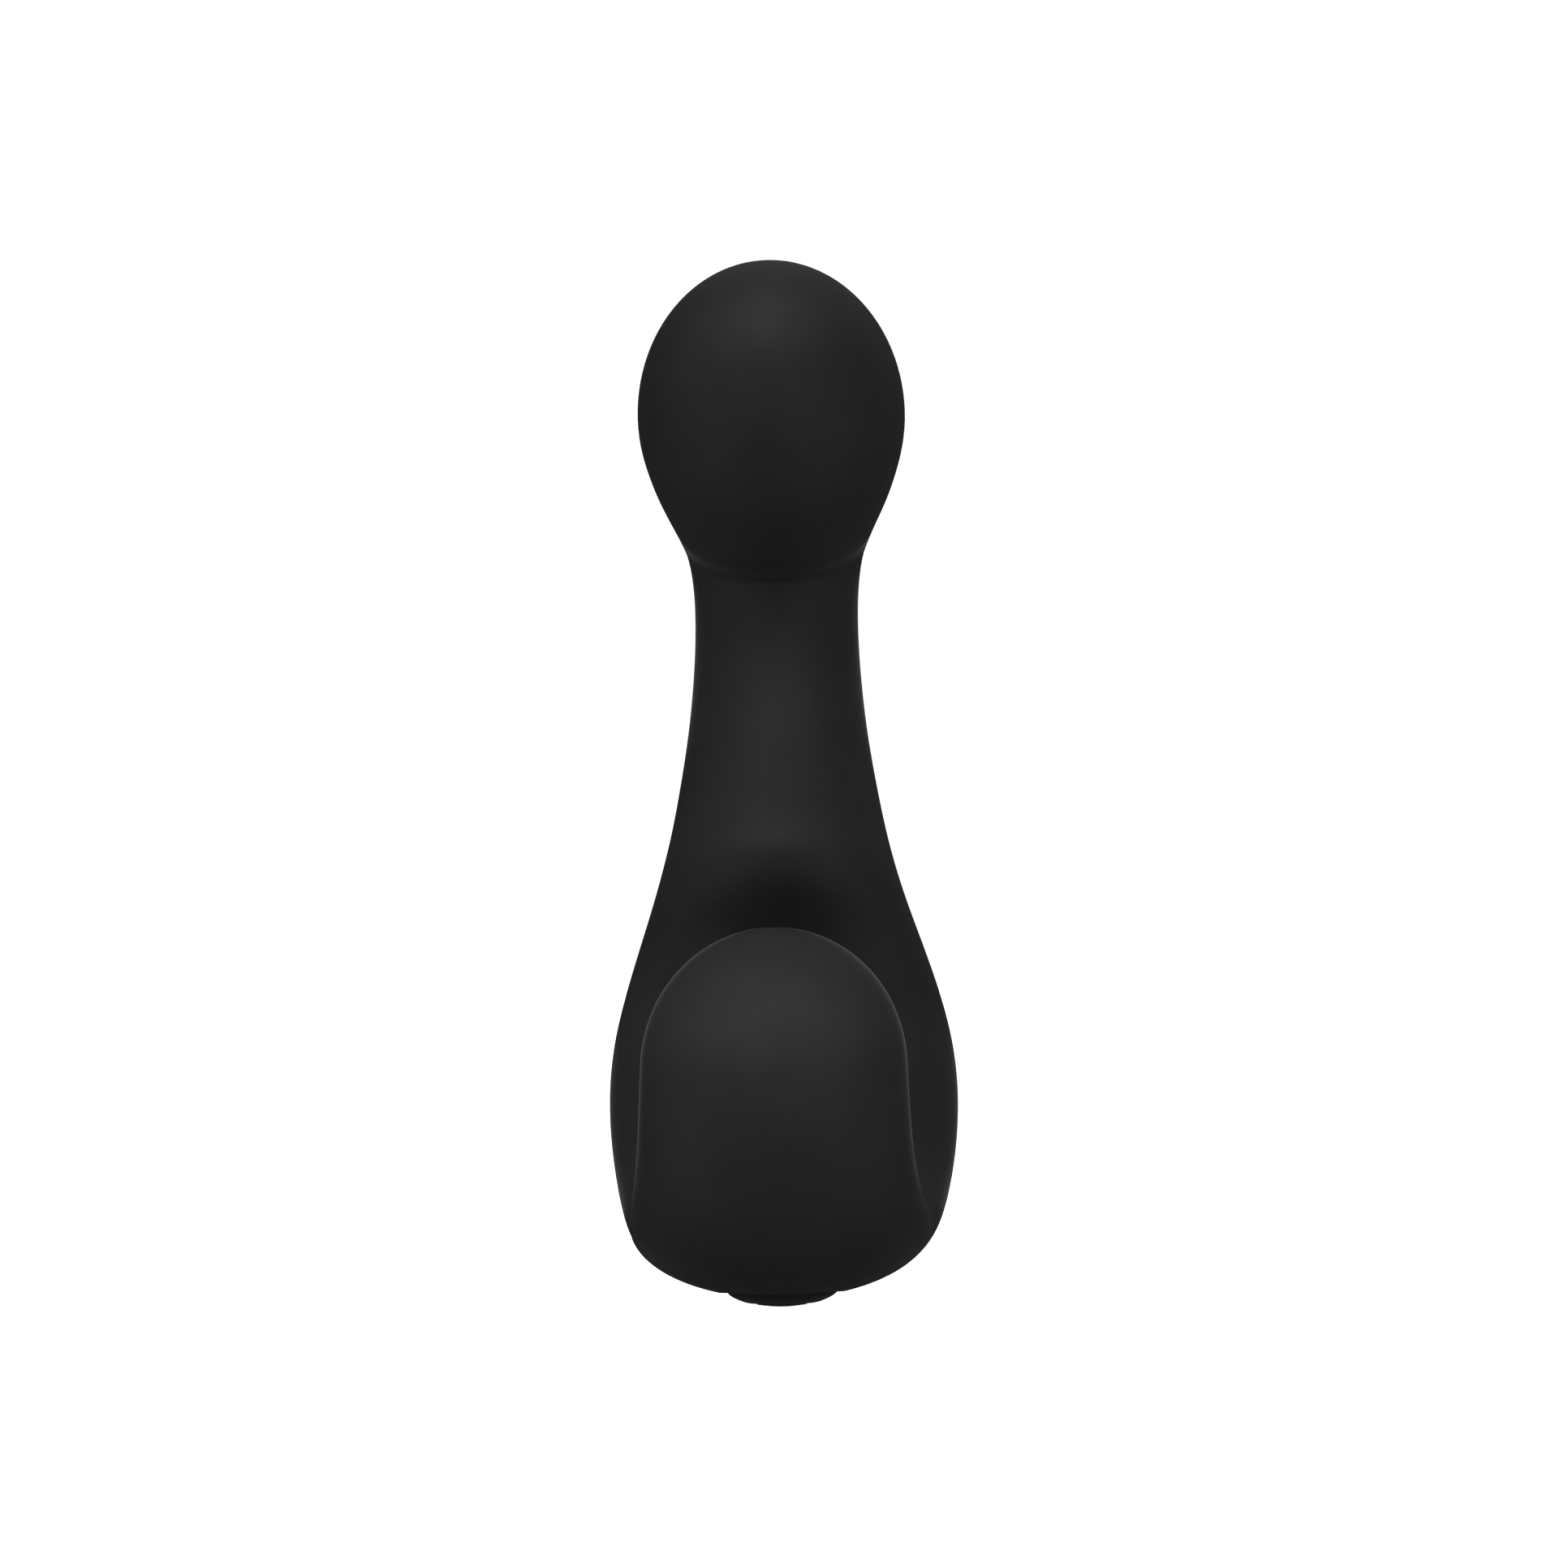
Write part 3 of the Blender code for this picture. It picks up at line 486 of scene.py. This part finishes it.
def natural_spline(knots, values, at):
    """A natural cubic spline through rows of values, read at the given places."""
    step = np.diff(knots)
    count = len(knots)
    system = np.eye(count)
    right = np.zeros_like(values)
    slope = np.diff(values, axis=0) / step[:, None]
    for i in range(1, count - 1):
        system[i, i - 1] = step[i - 1]
        system[i, i] = 2 * (step[i - 1] + step[i])
        system[i, i + 1] = step[i]
        right[i] = 6 * (slope[i] - slope[i - 1])
    bend = np.linalg.solve(system, right)
    rows = []
    for spot in at:
        i = int(np.clip(np.searchsorted(knots, spot) - 1, 0, count - 2))
        left = (knots[i + 1] - spot) / step[i]
        rest = 1.0 - left
        row = left * values[i] + rest * values[i + 1]
        row = row + ((left**3 - left) * bend[i] + (rest**3 - rest) * bend[i + 1]) * step[i] ** 2 / 6
        rows.append(row)
    return np.array(rows)


def run_of(points):
    """Distance along a row of points."""
    return np.r_[0.0, np.cumsum(np.sqrt((np.diff(points, axis=0) ** 2).sum(axis=1)))]


# ------------------------------------------------------------------ silicone skin


def tip_sections():
    """Sections of the arm's rounded tip, closest to the tip first."""
    sections = []
    for degrees in np.r_[88.5, np.arange(86.0, 2.0, -3.5)]:
        angle = math.radians(degrees)
        height = ARM_SHOULDER_Z + ARM_TIP_RISE * math.sin(angle)
        front = ARM_ARC_Y - math.sqrt(ARM_ARC_RADIUS**2 - (height - ARM_ARC_Z) ** 2)
        middle = front + ARM_HALF_DEPTH * math.cos(angle)
        depth = ARM_HALF_DEPTH * math.cos(angle)
        width = ARM_HALF_WIDTH * math.cos(angle)
        sections.append((middle - depth, height, middle + depth, height, width))
    return sections


def head_section(along, radius):
    """One round section of the head, across its leaning axis."""
    y = HEAD_Y - along * math.sin(HEAD_LEAN)
    z = HEAD_Z + along * math.cos(HEAD_LEAN)
    back = Vector((math.cos(HEAD_LEAN), math.sin(HEAD_LEAN))) * radius
    return (y + back.x, z + back.y, y - back.x, z - back.y, radius)


def head_sections():
    """Sections of the head from the crease to just below its top, on one smooth curve."""
    knots = list(HEAD_LOWER)
    for degrees in range(0, 124, 11):
        angle = math.radians(degrees)
        knots.append((HEAD_REACH * math.sin(angle), HEAD_RADIUS * math.cos(angle)))
    knots = np.array(knots)
    run = run_of(knots)
    widest = len(HEAD_LOWER)
    top = float(np.interp(0.0, -knots[widest:, 1], run[widest:]))
    places = np.linspace(0.0, top, round(top / SKIN_STEP) + 1)[:-1]
    return [head_section(*row) for row in natural_spline(run, knots, places)]


def body_sections():
    """Sections of the arm, base and shaft up to the crease."""
    table = np.array(SECTIONS)
    middle = (table[:, 0:2] + table[:, 2:4]) / 2
    run = run_of(np.c_[middle, table[:, 4]])
    places = np.linspace(0.0, run[-1], round(run[-1] / SKIN_STEP) + 1)
    return [tuple(row) for row in natural_spline(run, table, places)]


def eased_inside(sections, joint):
    """Rounds off the inner line where the arm's tip joins its body, row `joint`."""
    near = slice(joint - JOINT_REACH, joint + JOINT_REACH)
    for _ in range(JOINT_PASSES):
        before = sections[joint - JOINT_REACH - 1 : joint + JOINT_REACH - 1, 2:4]
        after = sections[joint - JOINT_REACH + 1 : joint + JOINT_REACH + 1, 2:4]
        sections[near, 2:4] = sections[near, 2:4] / 2 + (before + after) / 4
    return sections


def crease_section():
    """The line where the shaft meets the head."""
    return (np.array(SECTIONS[-1]) + np.array(head_section(*HEAD_LOWER[0]))) / 2


def crease_sections(before, after):
    """The rounding between the last section of the shaft and the first of the head."""
    start, end = np.array(before), np.array(after)
    corner = crease_section()
    rows = []
    for t in np.linspace(0.0, 1.0, CREASE_ROWS + 2)[1:-1]:
        rows.append(tuple((1 - t) ** 2 * start + 2 * t * (1 - t) * corner + t * t * end))
    return rows


def eased(value, low, high):
    """0 at low, 1 at high and smooth between."""
    t = min(1.0, max(0.0, (value - low) / (high - low)))
    return t * t * (3 - 2 * t)


def painted_rim_sheen(section, angle):
    """How much painted sheen the skin has at one place, a painted rim highlight: most on the arm's
    edge and the neck's sides, some on the lower flanks.
    """
    y = (section[0] + section[2]) / 2
    z = (section[1] + section[3]) / 2
    turn = math.degrees(min(angle, 2 * math.pi - angle))  # 0 outside, 180 inside
    height = 0.7 * eased(z, 11.0, 24.0) + 0.6 * eased(z, 26.0, 42.0)
    arm = height * eased(y, -12.0, -19.0) * eased(turn, 55.0, 82.0)
    side = math.exp(-(((turn - 90.0) / 28.0) ** 2))
    neck = 0.9 * eased(z, 66.0, 82.0) * eased(z, 97.0, 91.0) * side
    flank = 0.7 * eased(y, -2.0, 5.0) * eased(z, 38.0, 28.0) * side
    return max(arm, neck, flank)


def section_ring(section):
    """Points round one section, starting at its outer edge."""
    outer, inner = Vector(section[0:2]), Vector(section[2:4])
    middle = (outer + inner) / 2
    reach = (outer - inner) / 2
    ring = []
    for k in range(SKIN_STEPS):
        angle = 2 * math.pi * k / SKIN_STEPS
        spot = middle + reach * math.cos(angle)
        ring.append(place(section[4] * math.sin(angle), spot.x, spot.y))
    return ring


def panel_outline(u, v, grow):
    """A point of the panel's outline for a direction or a point on the unit square."""
    scale = (abs(u) ** PANEL_ROUNDNESS + abs(v) ** PANEL_ROUNDNESS) ** (-1.0 / PANEL_ROUNDNESS)
    x = u * scale * (PANEL_HALF_WIDTH + grow)
    y = v * scale * (PANEL_HALF_LENGTH + grow)
    return x, PANEL_Y + y


def window_rows(rings):
    """First and last ring that cross the window."""
    reach = PANEL_HALF_LENGTH + WINDOW_GAP + WINDOW_ROUND
    rows = []
    for i, ring in enumerate(rings):
        if len(ring) == 1 or ring[0].co.z >= BASE_TOP_Z * MM:
            continue
        if abs(ring[0].co.y / MM - SHIFT_Y - PANEL_Y) < reach:
            rows.append(i)
    return rows[0], rows[-1]


def on_surface(tree, x, y):
    """The skin's underside straight above a point of the tables' plane."""
    return tree.ray_cast(place(x, y, BELOW), Vector((0.0, 0.0, 1.0)))[0]


def eased_spot(vert, u, v, size):
    """Where a vertex goes so that the mesh follows the window's outline."""
    x, y = panel_outline(u / size, v / size, WINDOW_GAP + WINDOW_ROUND)
    y = PANEL_Y + (y - PANEL_Y) * size
    x *= size
    ease = eased(size, WINDOW_REACH, 1.0)
    here = vert.co / MM
    return here.x + (x - here.x) * ease, here.y - SHIFT_Y + (y - here.y + SHIFT_Y) * ease


def turn_in_edge(bm, tree, corner):
    """Rounds the window's edge inwards; corner gives each edge point its place on the outline."""
    edges = [e for e in bm.edges if e.is_boundary]
    for turn in WINDOW_TURNS:
        angle = math.radians(turn)
        grow = WINDOW_GAP + WINDOW_ROUND - WINDOW_ROUND * math.sin(angle)
        rise = WINDOW_ROUND * (1 - math.cos(angle))
        above = {}
        for vert in dict.fromkeys(v for e in edges for v in e.verts):
            level = on_surface(tree, *panel_outline(*corner[vert], grow))
            above[vert] = bm.verts.new((level.x, level.y, level.z + rise * MM))
            corner[above[vert]] = corner[vert]
        following = []
        for edge in edges:
            loop = edge.link_loops[0]
            start, end = loop.link_loop_next.vert, loop.vert
            bm.faces.new((start, end, above[end], above[start]))
            following.append(bm.edges.get((above[start], above[end])))
        edges = following


def open_window(bm, rings):
    """Opens the window for the panel, with the mesh round it eased and its edge turned in."""
    tree = BVHTree.FromBMesh(bm)
    first, last = window_rows(rings)
    front, back = rings[first][0].co.y, rings[last][0].co.y
    span = int((last - first) * (WINDOW_REACH - 1) / 2) + 2
    reach = int(WINDOW_COLUMNS * WINDOW_REACH) + 1
    moves, corner = {}, {}
    for i in range(first - span, last + span + 1):
        v = 2 * (rings[i][0].co.y - front) / (back - front) - 1
        for k in range(-reach, reach + 1):
            u = k / WINDOW_COLUMNS
            size = max(abs(u), abs(v))
            if size < 0.999 or size > WINDOW_REACH:
                continue
            vert = rings[i][k]
            hit = on_surface(tree, *eased_spot(vert, u, v, size))
            if hit is not None:
                moves[vert] = hit
            if size < 1.001:
                corner[vert] = (u / size, v / size)
    for vert, spot in moves.items():
        vert.co = spot
    inside = [
        ring[k]
        for ring in rings[first + 1 : last]
        for k in range(1 - WINDOW_COLUMNS, WINDOW_COLUMNS)
    ]
    bmesh.ops.delete(bm, geom=inside, context="VERTS")
    turn_in_edge(bm, tree, corner)


def clear_of(sections, spot):
    """The sections whose outer edge is further from a spot than the crease's rounding."""
    return [row for row in sections if math.dist(row[:2], spot) > CREASE_ROUND]


def skin_sections():
    """All sections of the skin, from the arm's tip to the head's top."""
    tips = tip_sections()
    body = clear_of(body_sections(), SECTIONS[-1][:2])
    head = head_sections()
    head = clear_of(head, head[0][:2])
    arm = eased_inside(np.array(tips + body), len(tips))
    return [tuple(row) for row in arm] + crease_sections(body[-1], head[0]) + head


def skin_rings(bm):
    """Rings of points along the skin, each point with its share of the painted sheen, a painted
    highlight.
    """
    painted_sheen = bm.verts.layers.float.new("painted_sheen")
    crease = section_ring(crease_section())
    height = ARM_SHOULDER_Z + ARM_TIP_RISE
    tip_y = ARM_ARC_Y - math.sqrt(ARM_ARC_RADIUS**2 - (height - ARM_ARC_Z) ** 2)
    rings = [[bm.verts.new(place(0.0, tip_y, height))]]
    # The arm's tip gets the full painted sheen of the painted rim highlight.
    rings[0][0][painted_sheen] = 1.0
    for section in skin_sections():
        ring = []
        for k, spot in enumerate(section_ring(section)):
            vert = bm.verts.new(spot)
            angle = 2 * math.pi * k / SKIN_STEPS
            # Painted highlight: a band of painted sheen along the crease under the head, on its
            # front side.
            painted_crease_sheen = math.exp(-(((spot - crease[k]).length / MM / PAINTED_CREASE_BAND) ** 2))
            painted_crease_sheen *= eased(-math.cos(angle), -0.6, 0.0)
            vert[painted_sheen] = max(painted_rim_sheen(section, angle), painted_crease_sheen)
            ring.append(vert)
        rings.append(ring)
    top = head_section(HEAD_REACH, 0.0)
    rings.append([bm.verts.new(place(0.0, top[0], top[1]))])
    return rings


def build_skin():
    """The silicone skin: smooth outer surface, thickened inwards, open at the panel."""
    bm = bmesh.new()
    rings = skin_rings(bm)
    for low, high in zip(rings, rings[1:]):
        join_rings(bm, low, high)
    bmesh.ops.recalc_face_normals(bm, faces=bm.faces)
    open_window(bm, rings)
    skin = finish_piece("skin", bm, "silicone", "body", ("silicone_skin",), 180.0)
    wall = skin.modifiers.new("Wall", "SOLIDIFY")
    wall.thickness = SKIN_THICK * MM
    wall.offset = -1.0
    wall.use_even_offset = True


# --------------------------------------------------------------- panel and button


def cut(piece, bm):
    """Cuts one closed mesh from the piece with an exact boolean."""
    mesh = bpy.data.meshes.new("cutter")
    bm.to_mesh(mesh)
    bm.free()
    cutter = bpy.data.objects.new("cutter", mesh)
    bpy.context.scene.collection.objects.link(cutter)
    modifier = piece.modifiers.new("Cut", "BOOLEAN")
    modifier.solver = "EXACT"
    modifier.object = cutter
    depsgraph = bpy.context.evaluated_depsgraph_get()
    result = bpy.data.meshes.new_from_object(piece.evaluated_get(depsgraph))
    piece.modifiers.clear()
    old = piece.data
    piece.data = result
    bpy.data.meshes.remove(old)
    bpy.data.objects.remove(cutter)


def weld(piece, sharp):
    """Joins points that fall together after cutting and shades the piece."""
    bm = bmesh.new()
    bm.from_mesh(piece.data)
    bmesh.ops.remove_doubles(bm, verts=bm.verts, dist=WELD * MM)
    bmesh.ops.dissolve_degenerate(bm, edges=bm.edges, dist=WELD * MM)
    bmesh.ops.triangulate(bm, faces=[face for face in bm.faces if len(face.verts) > 4])
    bm.to_mesh(piece.data)
    bm.free()
    piece.data.shade_smooth()
    piece.data.set_sharp_from_angle(angle=math.radians(sharp))


def bore(radius, depth, centre, mouth, flare=0.25):
    """A round cutter that opens downwards with a small chamfer at its mouth."""
    profile = (
        (0.0, BORE_START), (radius + flare, BORE_START), (radius + flare, mouth),
        (radius, mouth + flare), (radius, depth), (0.0, depth),
    )
    return turned(profile, BORE_STEPS, centre)


def build_panel():
    """Hard panel with a tapered shoulder, a button pocket, a light bore and contact bores."""
    bm = bmesh.new()
    rings = []
    for grow, z in PANEL_LEVELS:
        ring = []
        for k in range(PANEL_STEPS):
            angle = 2 * math.pi * k / PANEL_STEPS
            x, y = panel_outline(math.cos(angle), math.sin(angle), grow)
            ring.append(bm.verts.new(place(x, y, z)))
        rings.append(ring)
    for low, high in zip(rings, rings[1:]):
        join_rings(bm, low, high)
    bm.faces.new(rings[0])
    bm.faces.new(rings[-1])
    panel = finish_piece("panel", bm, "black_abs", "body", ("control_panel",))
    cut(panel, bore(BUTTON_POCKET_RADIUS, BUTTON_POCKET_TOP, BUTTON_CENTRE, PANEL_FACE_Z))
    cut(panel, bore(STEM_BORE_RADIUS, THROUGH, BUTTON_CENTRE, NO_MOUTH))
    for centre in SMALL_BORES:
        cut(panel, bore(SMALL_BORE_RADIUS, THROUGH, centre, PANEL_FACE_Z, SMALL_BORE_FLARE))
    weld(panel, 32.0)


def build_button():
    """Domed button with a fine groove round its crown and a stem up to the switch."""
    profile = [(0.0, 0.0)]
    for k in range(1, DOME_STEPS + 1):
        radius = DOME_RADIUS * k / DOME_STEPS
        groove = GROOVE_DEPTH * math.exp(-(((radius - GROOVE_RADIUS) / GROOVE_WIDTH) ** 2))
        profile.append((radius, DOME_RISE * (radius / DOME_RADIUS) ** 2 + groove))
    profile += arc(*BUTTON_EDGE, 6)
    profile += BUTTON_BACK
    bm = turned(profile, BUTTON_STEPS, BUTTON_CENTRE)
    finish_piece("button", bm, "black_abs", "button", ("power_button",))


# ----------------------------------------------------------------- inner pieces


def build_pad():
    """Foam pad behind the battery: a soft block with crowned faces and rounded edges."""
    low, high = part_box("battery_pad")
    centre, half = (low + high) / 2, (high - low) / 2
    bm = bmesh.new()
    bmesh.ops.create_cube(bm, size=2.0)
    bmesh.ops.subdivide_edges(bm, edges=bm.edges[:], cuts=11, use_grid_fill=True)
    for vert in bm.verts:
        x, y, z = vert.co
        round_x = x * (1 - 0.05 * abs(z) ** 4 - 0.04 * abs(y) ** 2)
        round_z = z * (1 - 0.03 * abs(x) ** 4 - 0.03 * abs(y) ** 2)
        crown = y * (1 - 0.28 * max(abs(x), abs(z)) ** 6)
        vert.co = Vector((
            centre.x + half.x * round_x, centre.y + half.y * crown, centre.z + half.z * round_z
        ))
    pad = finish_piece("foam_pad", bm, "foam", "body", ("battery_pad",), 60.0)
    smooth = pad.modifiers.new("Smooth", "SUBSURF")
    smooth.levels = smooth.render_levels = 1


def dress_nodes():
    """Gives every CAD node that stays in view its procedural material."""
    for row in frame["record"]["subparts"]:
        node = NODES[row["node"]]
        node.data.materials.clear()
        node.data.materials.append(FINISHES[row["material_slot"]])


# ------------------------------------------------------------- camera and lights


def build_camera():
    """Long lens, level with the middle of the object, a little to its right."""
    low, high = CAD_BOX
    data = bpy.data.cameras.new("camera")
    data.sensor_width = 36.0
    data.lens = CAMERA_LENS
    data.clip_start, data.clip_end = 0.1, 50.0
    camera = bpy.data.objects.new("camera", data)
    back = Vector((math.sin(CAMERA_YAW), -math.cos(CAMERA_YAW), 0.0))
    side = Vector((math.cos(CAMERA_YAW), math.sin(CAMERA_YAW), 0.0))
    down = Vector((0.0, 0.0, CAMERA_DOWN))
    camera.location = (low + high) / 2 + back * CAMERA_DISTANCE + side * CAMERA_SIDE - down
    turn = (-back).to_track_quat("-Z", "Y")
    camera.rotation_mode = "QUATERNION"
    camera.rotation_quaternion = turn @ Matrix.Rotation(CAMERA_ROLL, 4, "Z").to_quaternion()
    bpy.context.scene.collection.objects.link(camera)
    bpy.context.scene.camera = camera


def math_node(tree, operation, *values):
    """A math node; each input is a socket or a number."""
    made = tree.nodes.new("ShaderNodeMath")
    made.operation = operation
    for socket, value in zip(made.inputs, values):
        if isinstance(value, (int, float)):
            socket.default_value = value
        else:
            tree.links.new(value, socket)
    return made.outputs[0]


def all_lobes(tree):
    """The lobes' summed strength in the direction that the light comes from."""
    coords = tree.nodes.new("ShaderNodeTexCoord")
    total = 0.0
    for elevation, bearing, tight, strength in LOBES:
        up, around = math.radians(elevation), math.radians(bearing)
        dot = tree.nodes.new("ShaderNodeVectorMath")
        dot.operation = "DOT_PRODUCT"
        dot.inputs[1].default_value = (
            math.sin(around) * math.cos(up), -math.cos(around) * math.cos(up), math.sin(up)
        )
        tree.links.new(coords.outputs["Generated"], dot.inputs[0])
        away = math_node(tree, "SUBTRACT", dot.outputs["Value"], 1.0)
        lobe = math_node(tree, "EXPONENT", math_node(tree, "MULTIPLY", away, tight))
        total = math_node(tree, "MULTIPLY_ADD", lobe, strength, total)
    return total


def build_world():
    """White behind the object for the camera; for the light, soft lobes all round it."""
    world = bpy.data.worlds.new("surround")
    world.use_nodes = True
    tree = world.node_tree
    tree.nodes.clear()
    output = tree.nodes.new("ShaderNodeOutputWorld")
    choose = tree.nodes.new("ShaderNodeMixShader")
    path = tree.nodes.new("ShaderNodeLightPath")
    plain = tree.nodes.new("ShaderNodeBackground")
    lobed = tree.nodes.new("ShaderNodeBackground")
    plain.inputs["Color"].default_value = lobed.inputs["Color"].default_value = WHITE
    plain.inputs["Strength"].default_value = BACKDROP
    tree.links.new(all_lobes(tree), lobed.inputs["Strength"])
    tree.links.new(path.outputs["Is Camera Ray"], choose.inputs["Fac"])
    tree.links.new(lobed.outputs[0], choose.inputs[1])
    tree.links.new(plain.outputs[0], choose.inputs[2])
    tree.links.new(choose.outputs[0], output.inputs["Surface"])
    bpy.context.scene.world = world


def see_through_from_below(finish):
    """Leaves the underside of a surface clear, so that it hides nothing seen from below."""
    tree = finish.material.node_tree
    output = next(node for node in tree.nodes if node.type == "OUTPUT_MATERIAL")
    facing = tree.nodes.new("ShaderNodeNewGeometry")
    clear = tree.nodes.new("ShaderNodeBsdfTransparent")
    choose = tree.nodes.new("ShaderNodeMixShader")
    tree.links.new(facing.outputs["Backfacing"], choose.inputs["Fac"])
    tree.links.new(finish.shader.outputs["BSDF"], choose.inputs[1])
    tree.links.new(clear.outputs["BSDF"], choose.inputs[2])
    tree.links.new(choose.outputs["Shader"], output.inputs["Surface"])


def stage_piece(name, bm, drop, **values):
    """A level surface just below the object that isn't part of it, and its finish."""
    mesh = bpy.data.meshes.new(name)
    bm.to_mesh(mesh)
    bm.free()
    piece = bpy.data.objects.new(name, mesh)
    piece.location.z = CAD_BOX[0].z - drop
    bpy.context.scene.collection.objects.link(piece)
    finish = Finish(name, Roughness=0.9, Specular_IOR_Level=0.1, **values)
    mesh.materials.append(finish.material)
    return piece, finish


def build_floor():
    """A plain pale floor, level with the lowest point of the object."""
    bm = bmesh.new()
    bmesh.ops.create_grid(bm, x_segments=1, y_segments=1, size=FLOOR_HALF)
    floor, finish = stage_piece("floor", bm, FLOOR_DROP, Emission_Strength=1.0)
    finish.shader.inputs["Emission Color"].default_value = WHITE
    finish.colours(finish.noise(400.0, 1.0), (0.93, 0.93, 0.93), (0.95, 0.95, 0.95))
    see_through_from_below(finish)
    floor.visible_diffuse = False
    floor.visible_glossy = False
    floor.visible_shadow = False


def build_floor_patch():
    """The floor near the object, unseen itself: it keeps part of the light off the underside."""
    bm = bmesh.new()
    bmesh.ops.create_circle(bm, cap_ends=True, segments=64, radius=PATCH_RADIUS)
    patch, finish = stage_piece("floor_patch", bm, PATCH_DROP, Alpha=PATCH_COVER)
    finish.colours(finish.noise(400.0, 1.0), (0.34, 0.34, 0.34), (0.36, 0.36, 0.36))
    patch.visible_camera = False


# -------------------------------------------------------------------------- main

bpy.context.scene.view_settings.view_transform = "Standard"
build_camera()
build_world()
build_floor()
build_floor_patch()
dress_nodes()
build_skin()
build_panel()
build_button()
build_pad()
